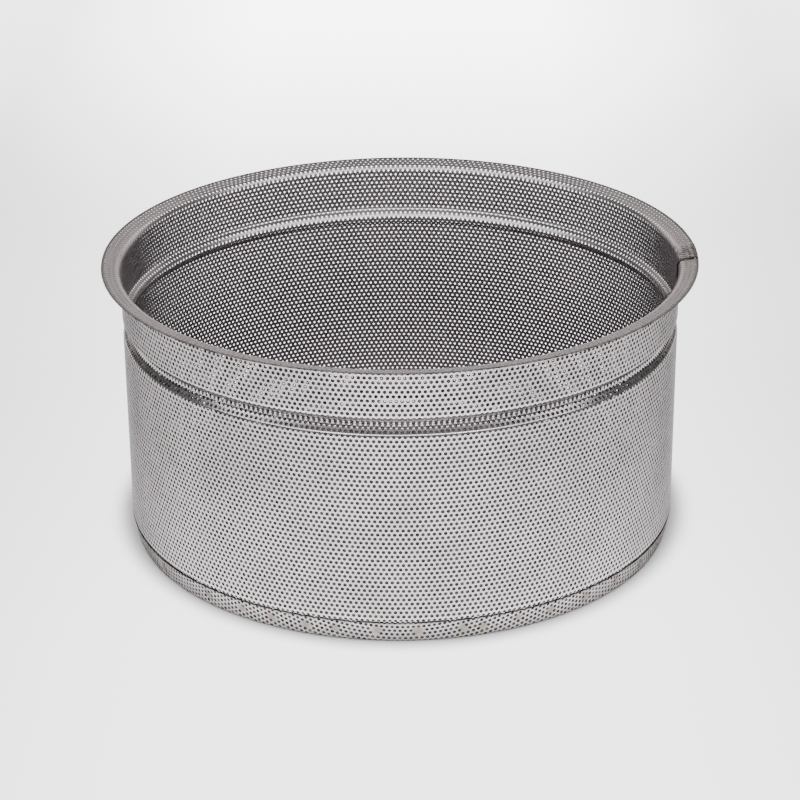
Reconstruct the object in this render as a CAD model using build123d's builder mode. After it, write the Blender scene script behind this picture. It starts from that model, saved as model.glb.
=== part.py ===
import os
from math import cos, degrees, radians, tan

from build123d import *

os.makedirs("parts", exist_ok=True)

# The basket stands on its flat base at Z = 0, with its axis on Z and its open rim up.
# Overall sizes
WALL_DIAMETER = 212.0  # outside of the rolled wall
RIM_DIAMETER = 226.2  # outer edge of the flared rim
BASKET_HEIGHT = 109.8  # base to the top of the rim's edge
SHEET = 0.5  # thickness of the steel sheet

# Rim and bead of the wall
RIM_LEAN = 11.0  # climb of the rim towards its edge, degrees
RIM_BEND = 1.6  # bend between rim and wall, outside of the sheet
BEAD_TOP = 89.6  # height of the bead's upper edge
BEAD_HEIGHT = 6.8  # opening of the bead on the outside
BEAD_DEPTH = 3.6  # how far the bead's flanks run in, to their meeting point
BEAD_BEND = 1.4  # bends at the bead's two edges
CREST_BEND = 2.2  # bend at the bead's crest

# Neck of the wall, drawn in so that the base dish fits over it
NECK_LIFT = 0.5  # height of the neck's lower edge above the dish's bend
SHOULDER_GAP = 0.4  # dark line between the dish's edge and the wall's shoulder
SHOULDER_RISE = 0.8  # height of the shoulder
WELD_CLEARANCE = 0.02  # gap between the neck and the dish

# Base dish
SKIRT_HEIGHT = 8.8  # base to the dish's upper edge
SKIRT_LEAN = 11.0  # lean of the skirt, degrees
DISH_BEND = 2.5  # bend between floor and skirt, outside of the sheet

# Lap seam of the rolled wall
LAP_WIDTH = 13.0  # overlap of the sheet's two ends
LAP_LAYERS = 2  # sheets lying on one another in the lap
SEAM_ANGLE = -3.0  # the lap's front edge, degrees round from +X

# Perforation, drawn as a plain grid of openings with about the open share of the real sheet
COLUMN_COUNT = 30  # openings round the wall in each row
ROW_COUNT = 4  # rows under the bead; one more row lies over it
FLOOR_COUNT = 10  # openings across the floor
OPEN_SHARE = 0.52  # side of an opening, as a share of its place in the grid
PUNCH_DEPTH = 4.0  # length of the punches that open the wall

# Flats that draw each bend: a smooth bend round so wide a ring has thousands of facets
BEND_FLAT_COUNT = 1

wall_radius = WALL_DIAMETER / 2
rim_radius = RIM_DIAMETER / 2
rim_edge = BASKET_HEIGHT - SHEET * cos(radians(RIM_LEAN))
rim_root = rim_edge - (rim_radius - wall_radius) * tan(radians(RIM_LEAN))
bead_low = BEAD_TOP - BEAD_HEIGHT
bead_middle = BEAD_TOP - BEAD_HEIGHT / 2
skirt_slope = tan(radians(SKIRT_LEAN))
neck_step = (SHEET + WELD_CLEARANCE) / cos(radians(SKIRT_LEAN))
neck_foot = DISH_BEND + NECK_LIFT
neck_foot_radius = wall_radius - neck_step - (SKIRT_HEIGHT - neck_foot) * skirt_slope
neck_top = SKIRT_HEIGHT + SHOULDER_GAP
neck_top_radius = wall_radius - neck_step + SHOULDER_GAP * skirt_slope
floor_radius = wall_radius - SKIRT_HEIGHT * skirt_slope
lap_angle = degrees(LAP_WIDTH / wall_radius)

# Grid of the wall's openings, from one side of the lap round to the other, and of the floor's
wall_foot = neck_top + SHOULDER_RISE
column_angle = (360 - lap_angle) / COLUMN_COUNT
first_column = SEAM_ANGLE + lap_angle + column_angle / 2
row_pitch = (bead_low - wall_foot) / ROW_COUNT
rows = [wall_foot + row_pitch * (row + 0.5) for row in range(ROW_COUNT)] + [(BEAD_TOP + rim_root) / 2]
open_width = OPEN_SHARE * wall_radius * radians(column_angle)
open_height = OPEN_SHARE * (rim_root - BEAD_TOP)
floor_pitch = 2 * floor_radius / FLOOR_COUNT
floor_grid = GridLocations(floor_pitch, floor_pitch, FLOOR_COUNT, FLOOR_COUNT)
floor_spots = [spot for spot in floor_grid if spot.position.length + floor_pitch / 2 < floor_radius]

# Outer face of the wall from the neck's foot up to the rim's edge, and the bend at each corner
wall_points = [
    (neck_foot_radius, neck_foot),
    (neck_top_radius, neck_top),
    (wall_radius, wall_foot),
    (wall_radius, bead_low),
    (wall_radius - BEAD_DEPTH, bead_middle),
    (wall_radius, BEAD_TOP),
    (wall_radius, rim_root),
    (rim_radius, rim_edge),
]
wall_bends = [0, 0, BEAD_BEND, CREST_BEND, BEAD_BEND, RIM_BEND]


def bent_line(points, bends):
    """Corners of a line through the points, with each bend drawn as flats."""
    with BuildLine(mode=Mode.PRIVATE) as line:
        FilletPolyline(*points, radius=bends)
    corners = []
    for edge in line.wire().edges():
        flats = 1 if edge.geom_type == GeomType.LINE else BEND_FLAT_COUNT
        corners += [edge @ (flat / flats) for flat in range(flats)]
    return corners + [Vector(*points[-1])]


def sheet_outline(line, width):
    """Outline of a sheet that lies on the left of a line, with mitred corners."""
    ways = [(end - start).normalized() for start, end in zip(line, line[1:])]
    far_side = []
    for corner, before, after in zip(line, ways[:1] + ways, ways + ways[-1:]):
        mitre = (before + after).normalized().rotate(Axis.Z, 90)
        far_side.append(corner + mitre * (width / mitre.dot(after.rotate(Axis.Z, 90))))
    return line + far_side[::-1]


wall_line = bent_line(wall_points, wall_bends)
dish_line = bent_line([(0, 0), (floor_radius, 0), (wall_radius, SKIRT_HEIGHT)], [DISH_BEND])

# Wall: a strip rolled to a ring, its bead rolled in, its rim flared and its lower end drawn in
with BuildPart() as side_wall:
    with BuildSketch(Plane.XZ) as wall_section:
        with BuildLine():
            Polyline(*sheet_outline(wall_line, SHEET), close=True)
        make_face()
    revolve(axis=Axis.Z)
    # The overlap of the strip's ends lies on the inside
    with BuildSketch(Plane.XZ.rotated((0, 0, SEAM_ANGLE))) as lap_section:
        with BuildLine():
            Polyline(*sheet_outline(wall_line, SHEET * LAP_LAYERS), close=True)
        make_face()
    revolve(axis=Axis.Z, revolution_arc=lap_angle)
    with Locations(*[(0, 0, height) for height in rows]):
        with PolarLocations(wall_radius, COLUMN_COUNT, first_column, 360 - lap_angle):
            Box(PUNCH_DEPTH, open_width, open_height, mode=Mode.SUBTRACT)
side_wall.part.label = "side_wall"
export_step(side_wall.part, "parts/side_wall.step")

# Base: a dish pressed from a flat disc, its skirt fitting over the neck of the wall
with BuildPart() as base_dish:
    with BuildSketch(Plane.XZ) as dish_section:
        with BuildLine():
            Polyline(*sheet_outline(dish_line, SHEET), close=True)
        make_face()
    revolve(axis=Axis.Z)
    with BuildSketch() as floor_openings:
        with Locations(*floor_spots):
            Rectangle(floor_pitch * OPEN_SHARE, floor_pitch * OPEN_SHARE)
    extrude(amount=SHEET, mode=Mode.SUBTRACT)
base_dish.part.label = "base_dish"
export_step(base_dish.part, "parts/base_dish.step")
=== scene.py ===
# %% [markdown]
# # A perforated filter basket
#
# The basket is two pieces of perforated stainless sheet, spot-welded together: a strip rolled to a ring,
# and a dish pressed from a disc. Its 33 thousand holes are far too many for the part's solids, which hold
# a plain grid of openings instead. So here both sheets are punched flat, in the true pitch, and then rolled
# and pressed to the outlines of the solids, just as the real sheets are.

import math

import bmesh
import bpy
import numpy as np
from mathutils import Matrix, Vector


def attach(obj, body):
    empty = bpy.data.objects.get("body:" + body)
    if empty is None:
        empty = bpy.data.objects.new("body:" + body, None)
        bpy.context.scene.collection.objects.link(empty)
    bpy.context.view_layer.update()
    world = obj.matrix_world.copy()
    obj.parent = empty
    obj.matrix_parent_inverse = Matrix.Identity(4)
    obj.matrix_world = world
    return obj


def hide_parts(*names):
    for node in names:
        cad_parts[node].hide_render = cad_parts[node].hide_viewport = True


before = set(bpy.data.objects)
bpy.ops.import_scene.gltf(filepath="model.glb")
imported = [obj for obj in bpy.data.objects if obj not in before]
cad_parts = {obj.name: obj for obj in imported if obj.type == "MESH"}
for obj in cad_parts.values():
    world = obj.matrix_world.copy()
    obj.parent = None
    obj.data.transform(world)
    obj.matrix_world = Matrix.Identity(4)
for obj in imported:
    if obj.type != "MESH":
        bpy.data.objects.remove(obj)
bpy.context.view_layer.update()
print("frame:", sorted(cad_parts))

# %% [markdown]
# ## Sizes
#
# All are in millimetres and are those of the part's source, apart from two that only the finished picture
# gave away. Light shows through the holes at a flat angle, so the sheet is drawn at a thinner gauge than
# the solids have. And the bead's glints lie a little higher, so its crest is lifted.

# %% Sizes
WALL_RADIUS = 106.0
RIM_RADIUS = 113.1
HEIGHT = 109.8
SHEET = 0.5  # thickness in the solids, which sets where the sheets lie
GAUGE = 0.4  # thickness drawn here
RIM_LEAN = math.radians(11)
RIM_BEND = 1.6
BEAD_TOP = 89.6
BEAD_HEIGHT = 6.8
BEAD_DEPTH = 3.6
BEAD_BEND = 1.4
CREST_BEND = 2.2
CREST_LIFT = 0.45
SHOULDER_GAP = 0.4
SHOULDER_RISE = 0.8
NECK_LIFT = 0.5
NECK_BEND = 0.2
WELD_CLEARANCE = 0.02
SKIRT_HEIGHT = 8.8
SKIRT_LEAN = math.radians(11)
DISH_BEND = 2.5
LAP_WIDTH = 13.0
LAP_STEP = 3.0  # length of the step that makes room for the lap
SEAM_ANGLE = math.radians(-3)
print(f"basket {2 * RIM_RADIUS:.1f} mm across and {HEIGHT:.1f} mm high")

# %% [markdown]
# ## Holes
#
# The pattern is counted from the photograph: about 332 holes go round the wall, in rows that are offset by
# half a hole. Each hole has six sides and the area of a round one, which looks round at this size and costs
# few faces. A punched hole is never quite straight, and these are wider on the outside.

# %% Holes
PITCH = 2.0
ROW = PITCH * math.sqrt(3) / 2
HOLE = 1.05
HOLE_TAPER = 0.29  # how much a hole grows on the outside and shrinks on the inside, as a share
HOLES_ROUND = 332
STRIP = PITCH * HOLES_ROUND
HOLE_APOTHEM = HOLE * math.sqrt(math.pi / (8 * math.sqrt(3)))
HOLE_CORNER = HOLE_APOTHEM / math.cos(math.pi / 6)
print(f"holes {HOLE * (1 + HOLE_TAPER):.2f} mm outside and {HOLE * (1 - HOLE_TAPER):.2f} mm inside")


# %% [markdown]
# ## Bent outlines
#
# A sheet keeps its length when it is bent. So each outline is a table from the distance along the sheet to
# the place and the heading there, and the heading turns evenly through every bend.


# %% Outlines
def outline(points, bends):
    """Distance, radius, height and heading along a line of straight runs joined by round bends."""
    ways = [math.atan2(b[1] - a[1], b[0] - a[0]) for a, b in zip(points, points[1:])]
    rows = [(*points[0], ways[0])]
    for corner, bend, before, after in zip(points[1:-1], bends, ways, ways[1:]):
        turn = after - before
        reach = bend * math.tan(abs(turn) / 2)
        side = math.copysign(1, turn)
        start = (corner[0] - reach * math.cos(before), corner[1] - reach * math.sin(before))
        centre_radius = start[0] - side * bend * math.sin(before)
        centre_height = start[1] + side * bend * math.cos(before)
        for part in np.linspace(0, 1, 9):
            way = before + part * turn
            radius = centre_radius + side * bend * math.sin(way)
            height = centre_height - side * bend * math.cos(way)
            rows.append((radius, height, way))
    rows.append((*points[-1], ways[-1]))
    rows = np.array(rows)
    steps = np.hypot(np.diff(rows[:, 0]), np.diff(rows[:, 1]))
    return np.column_stack([np.concatenate([[0], np.cumsum(steps)]), rows])


def follow(line, distance, depth):
    """Radius and height at a distance along the outline and a depth into the sheet."""
    radius, height, way = (np.interp(distance, line[:, 0], line[:, k]) for k in (1, 2, 3))
    return radius - depth * np.sin(way), height + depth * np.cos(way)


# %% [markdown]
# The wall's outline runs from the neck, which the dish's skirt covers, over the shoulder, the bead and the
# rim's bend to the rim's edge. The dish's outline runs from its centre over the bend and up the skirt.

# %% Wall and dish outlines
skirt_slope = math.tan(SKIRT_LEAN)
neck_step = (SHEET + WELD_CLEARANCE) / math.cos(SKIRT_LEAN)
neck_foot = DISH_BEND + NECK_LIFT
neck_top = SKIRT_HEIGHT + SHOULDER_GAP
rim_edge = HEIGHT - SHEET * math.cos(RIM_LEAN)
wall_line = outline(
    [
        (WALL_RADIUS - neck_step - (SKIRT_HEIGHT - neck_foot) * skirt_slope, neck_foot),
        (WALL_RADIUS - neck_step + SHOULDER_GAP * skirt_slope, neck_top),
        (WALL_RADIUS, neck_top + SHOULDER_RISE),
        (WALL_RADIUS, BEAD_TOP - BEAD_HEIGHT),
        (WALL_RADIUS - BEAD_DEPTH, BEAD_TOP - BEAD_HEIGHT / 2 + CREST_LIFT),
        (WALL_RADIUS, BEAD_TOP),
        (WALL_RADIUS, rim_edge - (RIM_RADIUS - WALL_RADIUS) * math.tan(RIM_LEAN)),
        (RIM_RADIUS, rim_edge),
    ],
    [NECK_BEND, NECK_BEND, BEAD_BEND, CREST_BEND, BEAD_BEND, RIM_BEND],
)
floor_radius = WALL_RADIUS - SKIRT_HEIGHT * skirt_slope
dish_line = outline([(0, 0), (floor_radius, 0), (WALL_RADIUS, SKIRT_HEIGHT)], [DISH_BEND])
WALL_LENGTH = wall_line[-1, 0]
NECK_LENGTH = np.interp(SKIRT_HEIGHT, wall_line[:, 2], wall_line[:, 0])
BLANK_RADIUS = dish_line[-1, 0]
print(f"wall strip {STRIP + LAP_WIDTH:.0f} x {WALL_LENGTH:.1f} mm")
print(f"dish blank {2 * BLANK_RADIUS:.1f} mm across")


# %% [markdown]
# ## Punched flat sheet
#
# A honeycomb has one cell for each hole. Bevelling every edge of it shrinks the cells to holes and leaves
# the metal between them as flat strips and triangles, which are few faces for such a sheet. The holes are
# then taken out, the sheet is cut to size and drawn out to its thickness.


# %% Honeycomb
def honeycomb(columns, rows, first_row):
    """A flat sheet of six-sided cells, one for each hole."""
    bm = bmesh.new()
    cell = bmesh.ops.create_circle(bm, cap_ends=True, segments=6, radius=PITCH / math.sqrt(3))
    shift = (first_row % 2) * PITCH / 2
    bmesh.ops.translate(bm, verts=cell["verts"], vec=(shift, first_row * ROW, 0))
    bmesh.ops.spin(
        bm,
        geom=bm.faces[:],
        dvec=(PITCH, 0, 0),
        angle=0,
        steps=columns - 1,
        use_duplicate=True,
        axis=(0, 0, 1),
    )
    one_row = bm.faces[:]
    for row in range(1, rows):
        copy = bmesh.ops.duplicate(bm, geom=one_row)
        verts = [v for v in copy["geom"] if isinstance(v, bmesh.types.BMVert)]
        across = ((first_row + row) % 2 - first_row % 2) * PITCH / 2
        bmesh.ops.translate(bm, verts=verts, vec=(across, row * ROW, 0))
    bmesh.ops.remove_doubles(bm, verts=bm.verts, dist=0.01)
    return bm


# %% [markdown]
# A spot weld melts the holes shut, so the holes near a weld's place are left filled.


# %% Punching
def open_hole(face, closed, columns):
    """Whether a hole lies away from all closed places, which are counted from the sheet's middle."""
    centre = face.calc_center_median()
    across = centre.x - columns // 2 * PITCH
    return all(math.hypot(across - x, centre.y - y) > reach for x, y, reach in closed)


def punched_sheet(columns, rows, first_row, cut, closed=()):
    """A perforated sheet of some rows of holes, which cut trims before it gets its thickness."""
    bm = honeycomb(columns, rows, first_row)
    bmesh.ops.bevel(
        bm,
        geom=[e for e in bm.edges if not e.is_boundary],
        offset=PITCH / 2 - HOLE_APOTHEM,
        offset_type="OFFSET",
        segments=1,
        profile=0.5,
        affect="EDGES",
        material=-1,
    )
    holes = [f for f in bm.faces if len(f.verts) >= 6]
    punched = [f for f in holes if open_hole(f, closed, columns)]
    bmesh.ops.delete(bm, geom=punched, context="FACES")
    cut(bm)
    far = bmesh.ops.extrude_face_region(bm, geom=bm.faces[:], use_keep_orig=True)
    far_verts = [v for v in far["geom"] if isinstance(v, bmesh.types.BMVert)]
    bmesh.ops.translate(bm, verts=far_verts, vec=(0, 0, GAUGE))
    bmesh.ops.recalc_face_normals(bm, faces=bm.faces)
    return bm


def shear(bm, point, outward):
    """Cuts the sheet straight across and drops what lies outward of the cut."""
    everything = bm.verts[:] + bm.edges[:] + bm.faces[:]
    bmesh.ops.bisect_plane(bm, geom=everything, plane_co=point, plane_no=outward, clear_outer=True)


# %% [markdown]
# ## The map of a sheet
#
# The flat sheet is the best map for its own finish, so it is kept as one: the outside in the lower half,
# the inside in the upper half, and each hole's wall within its own hole. It also tells the three finishes
# apart, because rolled faces lie flat in it and sheared faces stand up.


# %% Map
def hole_centres(x, y):
    """Centre of the hole nearest to each point of the flat sheet."""
    row = np.round(y / ROW)
    across = (row % 2) * PITCH / 2
    return np.round((x - across) / PITCH) * PITCH + across, row * ROW


def tapered(flat):
    """The flat sheet with its holes wider on the outside than on the inside."""
    x, y, depth = flat.T
    centre_x, centre_y = hole_centres(x, y)
    reach = np.hypot(x - centre_x, y - centre_y)
    corner = np.abs(reach - HOLE_CORNER) < 0.01
    grow = np.where(corner, HOLE_TAPER * np.where(depth > GAUGE / 2, -1, 1), 0)
    return np.column_stack([x + grow * (x - centre_x), y + grow * (y - centre_y), depth])


def sheet_map(mesh, flat):
    """Lays the piece's map out from the flat sheet, and gives each face its finish."""
    normals = np.empty(len(mesh.polygons) * 3, np.float32)
    mesh.polygons.foreach_get("normal", normals)
    normals = normals.reshape(-1, 3)[:, 2]
    totals = np.empty(len(mesh.polygons), np.int32)
    mesh.polygons.foreach_get("loop_total", totals)
    corner = np.empty(len(mesh.loops), np.int32)
    mesh.loops.foreach_get("vertex_index", corner)
    facing = np.repeat(normals, totals)
    x, y, depth = flat[corner].T
    centre_x, centre_y = hole_centres(x, y)
    wall = (np.abs(facing) < 0.5) & (depth > GAUGE / 2)
    u = np.where(wall, x + 0.45 * (centre_x - x), x)
    v = np.where(wall, y + 0.45 * (centre_y - y), y)
    low, high = flat[:, :2].min(0) - 0.5, flat[:, :2].max(0) + 0.5
    u = (u - low[0]) / (high[0] - low[0])
    v = (v - low[1]) / (high[1] - low[1]) / 2 + np.where(facing > 0.5, 0.5, 0)
    layer = mesh.uv_layers.new(name="OFBake")
    layer.data.foreach_set("uv", np.column_stack([u, v]).astype(np.float32).ravel())
    finish = np.where(np.abs(normals) < 0.5, 1, np.where(normals > 0, 2, 0))
    mesh.polygons.foreach_set("material_index", finish.astype(np.int32))


# %% [markdown]
# ## From flat sheet to piece
#
# Rolling and pressing move every point of the flat sheet to its place: its distance along the sheet gives
# the place on the outline, and its depth into the sheet goes square to it. What the finish has to know,
# such as bends, cut edges and welds, is marked on the points, where it costs no faces.


# %% Pieces
def make_piece(name, node, bm, place, marks):
    """Turns a punched sheet into a placed piece, drawn in place of a solid of the part, which it hides."""
    mesh = bpy.data.meshes.new(name)
    bm.to_mesh(mesh)
    bm.free()
    flat = np.empty(len(mesh.vertices) * 3, np.float32)
    mesh.vertices.foreach_get("co", flat)
    flat = flat.reshape(-1, 3).astype(float)
    sheet_map(mesh, flat)
    placed = place(*tapered(flat).T)
    for mark, values in marks(flat, placed).items():
        layer = mesh.attributes.new(mark, "FLOAT", "POINT")
        layer.data.foreach_set("value", values.astype(np.float32))
    mesh.vertices.foreach_set("co", (placed / 1000).astype(np.float32).ravel())
    mesh.update()
    mesh.polygons.foreach_set("use_smooth", np.ones(len(mesh.polygons), bool))
    mesh.set_sharp_from_angle(angle=math.radians(48))
    piece = bpy.data.objects.new(name, mesh)
    bpy.context.scene.collection.objects.link(piece)
    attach(piece, "root")
    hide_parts(node)
    print(name, sum(len(p.vertices) - 2 for p in mesh.polygons), "triangles")
    return piece


def bend_share(line, distance):
    """How far a place on the outline is bent: 1 in a sharp bend and 0 on a straight run."""
    before, after = (np.interp(distance + step, line[:, 0], line[:, 3]) for step in (-0.5, 0.5))
    return np.clip(2 * np.abs(after - before), 0, 1)


def spots(across, along, centres, sizes):
    """How much a round weld mark shows at each point: 1 at its middle and 0 away from it."""
    shows = np.zeros(len(across))
    for (centre_across, centre_along), size in zip(centres, sizes):
        away = np.hypot(across - centre_across, along - centre_along) / size
        shows = np.maximum(shows, np.clip(1.6 - away, 0, 1))
    return shows


# %% [markdown]
# ## The rolled wall
#
# The strip starts at the outside of the lap and runs once round and a little further, so that its end lies
# inside its own beginning. A short step in the strip makes room for it. The lap is spot-welded in three
# lines, which show as brown marks. The photograph shows those on the rim, and the ones below are a guess.
# The neck, which the skirt covers, is painted dark on its outside, a painted shade, so the skirt's holes
# look dark.

# %% Lap
lap_rows = np.concatenate([np.arange(14.0, 100.0, 11.0), WALL_LENGTH - np.array([6.6, 4.3, 2.0])])
LAP_WELDS = [(STRIP + LAP_WIDTH - side, row) for row in lap_rows for side in (2.0, 5.0, 8.0)]
LAP_WELD_SIZES = np.full(len(LAP_WELDS), 2.2)
print(len(LAP_WELDS), "welds on the lap")


def roll(x, y, depth):
    """Place of the strip's points on the rolled ring."""
    step = np.clip((x - STRIP + LAP_STEP) / LAP_STEP, 0, 1)
    depth = depth + (GAUGE + WELD_CLEARANCE) * step * step * (3 - 2 * step)
    radius, height = follow(wall_line, y, depth)
    angle = SEAM_ANGLE + LAP_WIDTH / WALL_RADIUS - 2 * math.pi * x / STRIP
    return np.column_stack([radius * np.cos(angle), radius * np.sin(angle), height])


def wall_marks(flat, placed):
    """Bends, cut edges with the covered neck, and the welds of the lap."""
    x, y, depth = flat.T
    ends = np.minimum(x, STRIP + LAP_WIDTH - x)
    away = np.minimum(np.minimum(y, WALL_LENGTH - y) - 0.25, ends)
    covered = (y < NECK_LENGTH) & (depth < GAUGE / 2)
    return {
        "bend": bend_share(wall_line, y),
        # Painted shade, partly: dark near cut edges for the shadow lines there, and dark on the covered
        # neck, which lies in shadow.
        "edge": np.maximum(np.clip(1.8 - 2 * away, 0, 1), np.where(covered, 0.85, 0)),
        "burn": spots(x, y, LAP_WELDS, LAP_WELD_SIZES),
    }


# %% [markdown]
# The ring is kept in four belts, because of its many holes, and each belt ends between two rows. The last
# belt starts at the bead and has the rim.


# %% Wall
def belt(name, first_row, last_row):
    """One belt of the wall, cut between two rows of holes or at the strip's edges."""
    low = max(0, (first_row - 0.5) * ROW)
    high = min(WALL_LENGTH, (last_row + 0.5) * ROW)

    def cut(bm):
        bmesh.ops.translate(bm, verts=bm.verts, vec=(-2 * PITCH, 0, 0))
        shear(bm, (0, 0, 0), (-1, 0, 0))
        shear(bm, (STRIP + LAP_WIDTH, 0, 0), (1, 0, 0))
        shear(bm, (0, low, 0), (0, -1, 0))
        shear(bm, (0, high, 0), (0, 1, 0))

    columns = HOLES_ROUND + int(LAP_WIDTH / PITCH) + 6
    bm = punched_sheet(columns, last_row - first_row + 3, first_row - 1, cut)
    return make_piece(name, "side_wall", bm, roll, wall_marks)


rows = int(WALL_LENGTH / ROW) + 1
bead_row = int(np.interp(BEAD_TOP - BEAD_HEIGHT, wall_line[:, 2], wall_line[:, 0]) / ROW)
third = bead_row // 3
wall_pieces = [
    belt("side_wall_lower", 0, third),
    belt("side_wall_middle", third + 1, 2 * third),
    belt("side_wall_upper", 2 * third + 1, bead_row),
    belt("side_wall_rim", bead_row + 1, rows),
]

# %% [markdown]
# ## Spot welds
#
# A ring of spot welds holds the skirt to the neck. Each is a small dent with a tan tint, where the holes
# have closed. Those at the front are set where the photograph shows them, and the others follow at a
# similar spacing.

# %% Welds
SEEN_WELDS = [-133, -124, -117, -109.5, -103.5, -95, -87, -78, -74, -66.5, -59, -50]
WELD_HEIGHT = 5.3
WELD_DENT = 0.0016  # as a share of the skirt's radius
chance = np.random.default_rng(7)
rest = np.arange(-41.0, 220.0, 9.0)
rest = rest + chance.uniform(-0.9, 0.9, len(rest))
weld_angles = np.radians(np.concatenate([SEEN_WELDS, rest]))
weld_heights = WELD_HEIGHT + chance.uniform(-0.5, 0.5, len(weld_angles))
weld_sizes = chance.uniform(1.4, 1.9, len(weld_angles))
weld_reach = np.interp(weld_heights, dish_line[1:, 2], dish_line[1:, 0])
weld_x = weld_reach * np.cos(weld_angles)
weld_y = weld_reach * np.sin(weld_angles)
weld_places = list(zip(weld_x, weld_y, 0.85 * weld_sizes))
print(len(weld_places), "welds round the skirt")


def dish_welds(placed):
    """The weld marks, counted in millimetres round the skirt and up it."""
    angle = np.arctan2(placed[:, 1], placed[:, 0])
    skirt = np.hypot(placed[:, 0], placed[:, 1]) > 90
    centres = [(turn * WALL_RADIUS, height) for turn, height in zip(weld_angles, weld_heights)]
    shows = np.zeros(len(placed))
    for turn in (0, 2 * math.pi):
        around = (angle + turn) * WALL_RADIUS
        shows = np.maximum(shows, spots(around, placed[:, 2], centres, weld_sizes))
    return np.where(skirt, shows, 0)


# %% [markdown]
# ## The pressed dish
#
# The dish is punched as a flat disc, so its rows keep their direction across the floor and meet the skirt
# at every angle, which is how the photograph tells it from the wall. Pressing turns the margin up. It is
# kept in two halves, again because of the holes.


# %% Dish
def dish_marks(flat, placed):
    """Bends, the cut edge and the welds of the dish."""
    distance = np.hypot(flat[:, 0], flat[:, 1])
    return {
        "bend": bend_share(dish_line, distance),
        # Painted shade, partly: the dish's cut edge at the top of the skirt is darkened for the shadow line
        # under the shoulder.
        "edge": np.clip(1 - 2 * (BLANK_RADIUS - distance), 0, 1),
        "weld": dish_welds(placed),
    }


def press(x, y, depth):
    """Place of the disc's points on the pressed dish, with the welds' dents."""
    distance = np.hypot(x, y)
    radius, height = follow(dish_line, distance, depth)
    angle = np.arctan2(y, x)
    placed = np.column_stack([radius * np.cos(angle), radius * np.sin(angle), height])
    dent = 1 - WELD_DENT * dish_welds(placed)
    placed[:, :2] *= dent[:, None]
    return placed


def half_dish(name, first_row, last_row, outward, line):
    """One half of the dish, cut between two rows of holes."""

    def cut(bm):
        bmesh.ops.translate(bm, verts=bm.verts, vec=(-(columns // 2) * PITCH, 0, 0))
        shear(bm, (0, line, 0), outward)
        reach = {v: math.hypot(v.co.x, v.co.y) for v in bm.verts}
        outside = [f for f in bm.faces if all(reach[v] > BLANK_RADIUS for v in f.verts)]
        bmesh.ops.delete(bm, geom=outside, context="FACES")
        for v in bm.verts:
            if reach[v] > BLANK_RADIUS:
                v.co *= BLANK_RADIUS / reach[v]

    columns = 2 * int(BLANK_RADIUS / PITCH) + 6
    bm = punched_sheet(columns, last_row - first_row + 3, first_row - 1, cut, weld_places)
    return make_piece(name, "base_dish", bm, press, dish_marks)


reach_rows = int(BLANK_RADIUS / ROW) + 1
dish_pieces = [
    half_dish("base_dish_front", -reach_rows, 0, (0, 1, 0), ROW / 2),
    half_dish("base_dish_back", 1, reach_rows, (0, -1, 0), ROW / 2),
]

# %% [markdown]
# ## Building a finish
#
# A finish is a chain of small steps: a noise, a mark or a map goes in, and a colour or a roughness comes
# out. Each helper here adds one such step and hands on the socket that the next one needs.


# %% Finish helpers
def add(nodes, kind, **values):
    """A new node with some of its inputs set."""
    node = nodes.new("ShaderNode" + kind)
    for name, value in values.items():
        node.inputs[name.replace("_", " ")].default_value = value
    return node


def noise(nodes, links, place, scale, detail):
    """A cloudy value from 0 to 1 at each place."""
    node = add(nodes, "TexNoise", Scale=scale, Detail=detail)
    links.new(place, node.inputs["Vector"])
    return node.outputs["Fac"]


def ranged(nodes, links, value, shape="LINEAR", **ends):
    """A value moved from one range to another."""
    node = add(nodes, "MapRange", **ends)
    node.interpolation_type = shape
    links.new(value, node.inputs["Value"])
    return node.outputs["Result"]


def combined(nodes, links, operation, first, second):
    """Two values taken together."""
    node = nodes.new("ShaderNodeMath")
    node.operation = operation
    links.new(first, node.inputs[0])
    links.new(second, node.inputs[1])
    return node.outputs["Value"]


def mark(nodes, links, name, share):
    """A piece's mark, from 0 to the share."""
    node = nodes.new("ShaderNodeAttribute")
    node.attribute_name = name
    return ranged(nodes, links, node.outputs["Fac"], To_Max=share)


# %% Colour helpers
def two_tone(nodes, links, value, low, dark, high, light):
    """A colour that goes from dark at the low value to light at the high one."""
    node = nodes.new("ShaderNodeValToRGB")
    first, last = node.color_ramp.elements
    first.position = low
    first.color = dark
    last.position = high
    last.color = light
    links.new(value, node.inputs["Fac"])
    return node.outputs["Color"]


def blend(nodes, links, share, first, second):
    """A colour between the first, a socket, and the second, a colour. The share is a socket too."""
    node = nodes.new("ShaderNodeMix")
    node.data_type = "RGBA"
    node.inputs["B"].default_value = second
    links.new(share, node.inputs["Factor"])
    links.new(first, node.inputs["A"])
    return node.outputs["Result"]


def bare_metal(name):
    """A new metal, with its nodes, links and shader."""
    material = bpy.data.materials.new(name)
    material.use_nodes = True
    nodes, links = material.node_tree.nodes, material.node_tree.links
    shader = nodes["Principled BSDF"]
    shader.inputs["Metallic"].default_value = 1.0
    return material, nodes, links, shader


# %% [markdown]
# ## Satin steel
#
# Rolled stainless is a little cloudy and has a fine grain along the strip, which comes from the sheet's own
# map. The tools burnish it in the bends, which makes them smoother, and the bends are also painted lighter,
# a painted highlight. Near its cut edges it is painted dark, partly dull cut steel and partly painted shade
# for the shadow lines along the edges, and the neck under the skirt is painted dark as painted shade. It
# takes a tan tint where the skirt was welded, and brown specks where the lap was.


# %% Steel
BURNISH_HIGHLIGHT = (0.66, 0.62, 0.63, 1)
CUT_EDGE_SHADE = (0.05, 0.046, 0.044, 1)
TAN = (0.22, 0.178, 0.145, 1)
BROWN = (0.07, 0.052, 0.04, 1)


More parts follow.
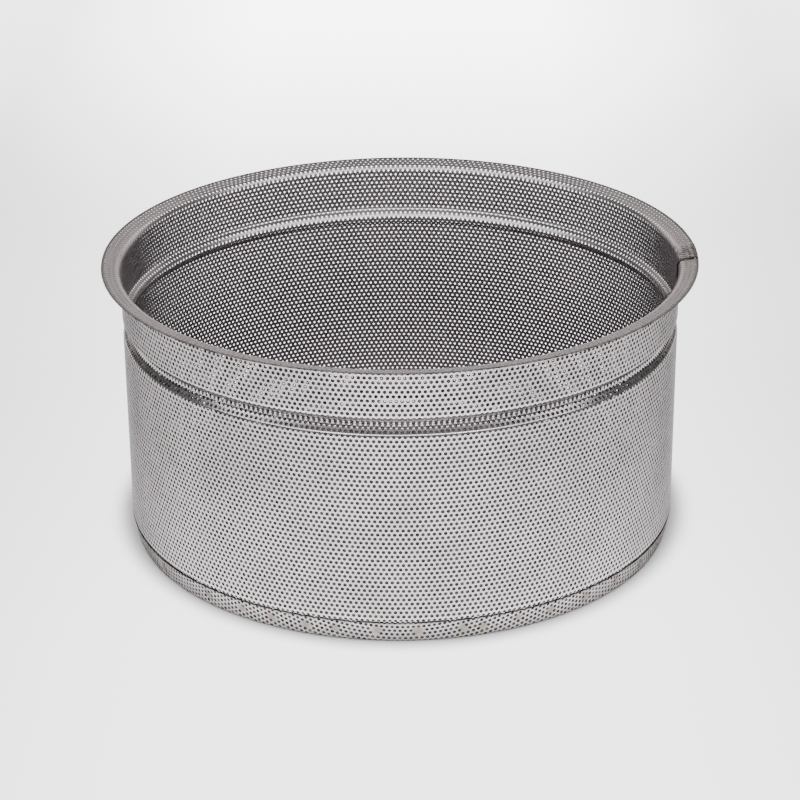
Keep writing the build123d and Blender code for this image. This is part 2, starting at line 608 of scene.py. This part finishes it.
def rolled_steel(name, dark, light, grazing, satin):
    """Rolled stainless steel. Grazing is its gloss at flat angles, and satin its least roughness."""
    material, nodes, links, shader = bare_metal(name)
    shader.inputs["Specular Tint"].default_value = (grazing, grazing, grazing, 1)
    place = nodes.new("ShaderNodeTexCoord").outputs["Object"]
    strip = nodes.new("ShaderNodeUVMap")
    strip.uv_map = "OFBake"
    stretch = add(nodes, "Mapping", Scale=(60, 500, 1))
    links.new(strip.outputs["UV"], stretch.inputs["Vector"])
    clouds = noise(nodes, links, place, 60.0, 6.0)
    grain = noise(nodes, links, stretch.outputs["Vector"], 1.0, 3.0)
    specks = ranged(nodes, links, noise(nodes, links, place, 700.0, 2.0), From_Min=0.45, From_Max=0.55)
    burn = combined(nodes, links, "MULTIPLY", mark(nodes, links, "burn", 0.95), specks)

    colour = two_tone(nodes, links, clouds, 0.35, dark, 0.65, light)
    # Painted highlight: the bends are painted lighter, besides the real burnish that makes them smoother.
    colour = blend(nodes, links, mark(nodes, links, "bend", 0.6), colour, BURNISH_HIGHLIGHT)
    # Partly dull cut steel and partly painted shade: near cut edges and on the covered neck the colour goes
    # dark.
    colour = blend(nodes, links, mark(nodes, links, "edge", 1.0), colour, CUT_EDGE_SHADE)
    colour = blend(nodes, links, mark(nodes, links, "weld", 0.85), colour, TAN)
    colour = blend(nodes, links, burn, colour, BROWN)
    links.new(colour, shader.inputs["Base Color"])

    rough = ranged(nodes, links, grain, To_Min=satin, To_Max=satin + 0.09)
    rough = combined(nodes, links, "SUBTRACT", rough, mark(nodes, links, "bend", 0.08))
    links.new(rough, shader.inputs["Roughness"])
    bump = add(nodes, "Bump", Strength=0.15, Distance=0.00003)
    links.new(grain, bump.inputs["Height"])
    links.new(bump.outputs["Normal"], shader.inputs["Normal"])
    return material


# %% [markdown]
# Where the sheet was punched and cut, the steel is torn, so it is rough and dark with a few bright streaks.


# %% Sheared steel
def sheared_steel():
    """Rough, dull steel where the sheet was punched and cut."""
    material, nodes, links, shader = bare_metal("sheared_steel")
    shader.inputs["Roughness"].default_value = 0.6
    place = nodes.new("ShaderNodeTexCoord").outputs["Object"]
    drag = noise(nodes, links, place, 420.0, 2.0)
    dark = (0.03, 0.028, 0.027, 1)
    light = (0.18, 0.17, 0.165, 1)
    links.new(two_tone(nodes, links, drag, 0.42, dark, 0.66, light), shader.inputs["Base Color"])
    return material


# %% [markdown]
# The outside is the brightest face, and its low gloss at flat angles darkens the wall's flanks, a painted
# shade.
# The inside of the wall, which is also the top of the rim, has a softer satin and a darker colour, and the
# dish's
# inside is darker still: both darker colours are painted shade for the inside of the basket. Every piece
# takes three finishes, in the order outside, sheared and inside.

# %% Finishes
# Painted shade: the inside's and the dish's darker colours, and the outside's low gloss at flat angles.
outside = rolled_steel("outer_steel", (0.395, 0.364, 0.374, 1), (0.465, 0.428, 0.44, 1), 0.38, 0.22)
inside = rolled_steel("shaded_inner_steel", (0.3, 0.271, 0.288, 1), (0.35, 0.316, 0.336, 1), 1.0, 0.33)
dull = rolled_steel("shaded_floor_steel", (0.23, 0.21, 0.22, 1), (0.29, 0.265, 0.275, 1), 0.6, 0.22)
sheared = sheared_steel()
for piece in wall_pieces + dish_pieces:
    for finish in (outside, sheared, dull if piece in dish_pieces else inside):
        piece.data.materials.append(finish)
print("finishes:", [finish.name for finish in (outside, sheared, inside, dull)])

# %% [markdown]
# ## Camera
#
# The camera was fitted to the photograph's rim, bead and base outlines. It looks down by 24 degrees through
# a long lens from about a metre away, and leans by half a degree.

# %% Camera
AIM = 0.04883  # height of the point it looks at, metres
AWAY = 0.9976  # metres
LOOK_DOWN = math.radians(24.3145)
LEAN = math.radians(-0.468)
PICTURE = 800  # pixels across
FOCAL = 2558.1  # pixels
SIDE_SHIFT = -0.9  # pixels
camera_data = bpy.data.cameras.new("camera")
camera_data.lens = 36 * FOCAL / PICTURE
camera_data.shift_x = SIDE_SHIFT / PICTURE
camera = bpy.data.objects.new("camera", camera_data)
camera.location = (0, -AWAY * math.cos(LOOK_DOWN), AIM + AWAY * math.sin(LOOK_DOWN))
tilt = Matrix.Rotation(math.pi / 2 - LOOK_DOWN, 3, "X")
camera.rotation_euler = (tilt @ Matrix.Rotation(LEAN, 3, "Z")).to_euler()
bpy.context.scene.collection.objects.link(camera)
bpy.context.scene.camera = camera
print(f"camera with a {camera_data.lens:.0f} mm lens")

# %% [markdown]
# ## Floor
#
# The outside of the wall mirrors the floor in front of it, so the floor is what makes it bright. The pale
# floor
# glows, which is painted light: a painted pool of light round the basket. The pool starts just past the
# skirt and leaves a painted contact shadow there, it dims to both sides, a painted shade which rounds the
# wall, and it grows far behind to a white backdrop.

# %% Floor
bm = bmesh.new()
bmesh.ops.create_grid(bm, x_segments=1, y_segments=1, size=3.0)
floor_mesh = bpy.data.meshes.new("floor")
bm.to_mesh(floor_mesh)
bm.free()
floor = bpy.data.objects.new("floor", floor_mesh)
bpy.context.scene.collection.objects.link(floor)

# %% Floor paint
glowing_floor_paint = bpy.data.materials.new("glowing_floor_paint")
glowing_floor_paint.use_nodes = True
nodes, links = glowing_floor_paint.node_tree.nodes, glowing_floor_paint.node_tree.links
paper = nodes["Principled BSDF"]
paper.inputs["Base Color"].default_value = (0.92, 0.92, 0.92, 1)
paper.inputs["Roughness"].default_value = 0.8
paper.inputs["Emission Color"].default_value = (1, 1, 1, 1)
spot = nodes.new("ShaderNodeTexCoord").outputs["Object"]
shade = add(nodes, "Mapping", Location=(0, -0.012, 0), Scale=(1.07, 1, 1))
links.new(spot, shade.inputs["Vector"])
away = nodes.new("ShaderNodeVectorMath")
away.operation = "LENGTH"
links.new(shade.outputs["Vector"], away.inputs[0])
# Painted light: the floor glows, with a painted contact shadow round the skirt where the glow is zero.
glow = ranged(
    nodes, links, away.outputs["Value"], "SMOOTHERSTEP", From_Min=0.113, From_Max=0.127, To_Max=2.8
)
split = nodes.new("ShaderNodeSeparateXYZ")
links.new(spot, split.inputs["Vector"])
aside = nodes.new("ShaderNodeMath")
aside.operation = "ABSOLUTE"
links.new(split.outputs["X"], aside.inputs[0])
# Painted shade: the glow dims to both sides, so the wall's flanks mirror a darker floor.
fade = ranged(nodes, links, aside.outputs["Value"], From_Min=0.09, From_Max=0.22, To_Min=1.0, To_Max=0.5)
backdrop = ranged(
    nodes, links, split.outputs["Y"], "SMOOTHSTEP", From_Min=0.3, From_Max=0.75, To_Min=1.0, To_Max=2.2
)
pool = combined(nodes, links, "MULTIPLY", glow, fade)
pool = combined(nodes, links, "MULTIPLY", pool, backdrop)
links.new(pool, paper.inputs["Emission Strength"])
floor_mesh.materials.append(glowing_floor_paint)
print("floor with", len(nodes), "nodes in its paint")

# %% [markdown]
# ## Light
#
# Three soft boxes in a half ring in front draw the bright lines on the bends of the bead and rim. A wide,
# warm card behind is what the top of the rim mirrors. A weak light overhead and a dim room fill the inside,
# which has to stay darker than the outside.


# %% Light
def soft_box(name, place, aim, size, power, colour=(1, 1, 1)):
    """A soft light at a place, turned to a point."""
    data = bpy.data.lights.new(name, "AREA")
    data.shape = "RECTANGLE"
    data.size, data.size_y = size
    data.energy = power
    data.color = colour
    light = bpy.data.objects.new(name, data)
    light.location = place
    light.rotation_euler = (Vector(aim) - Vector(place)).to_track_quat("-Z", "Y").to_euler()
    bpy.context.scene.collection.objects.link(light)
    return light


lights = [
    soft_box("key", (0, -1.35, 1.2), (0, 0, 0.08), (1.6, 0.5), 13),
    soft_box("left", (-1.15, -0.8, 1.2), (0, 0, 0.08), (1.6, 0.5), 11),
    soft_box("right", (1.15, -0.8, 1.2), (0, 0, 0.08), (1.6, 0.5), 11),
    soft_box("top", (0, 0.1, 1.7), (0, 0, 0.1), (1.0, 1.0), 2.2),
    soft_box("card", (0, 1.6, 0.6), (0, 0, 0.1), (3.2, 1.2), 12.5, (1.0, 0.93, 0.88)),
]
world = bpy.data.worlds.new("studio")
bpy.context.scene.world = world
world.use_nodes = True
world.node_tree.nodes["Background"].inputs["Color"].default_value = (1, 1, 1, 1)
world.node_tree.nodes["Background"].inputs["Strength"].default_value = 0.16
print("lights:", [light.name for light in lights])
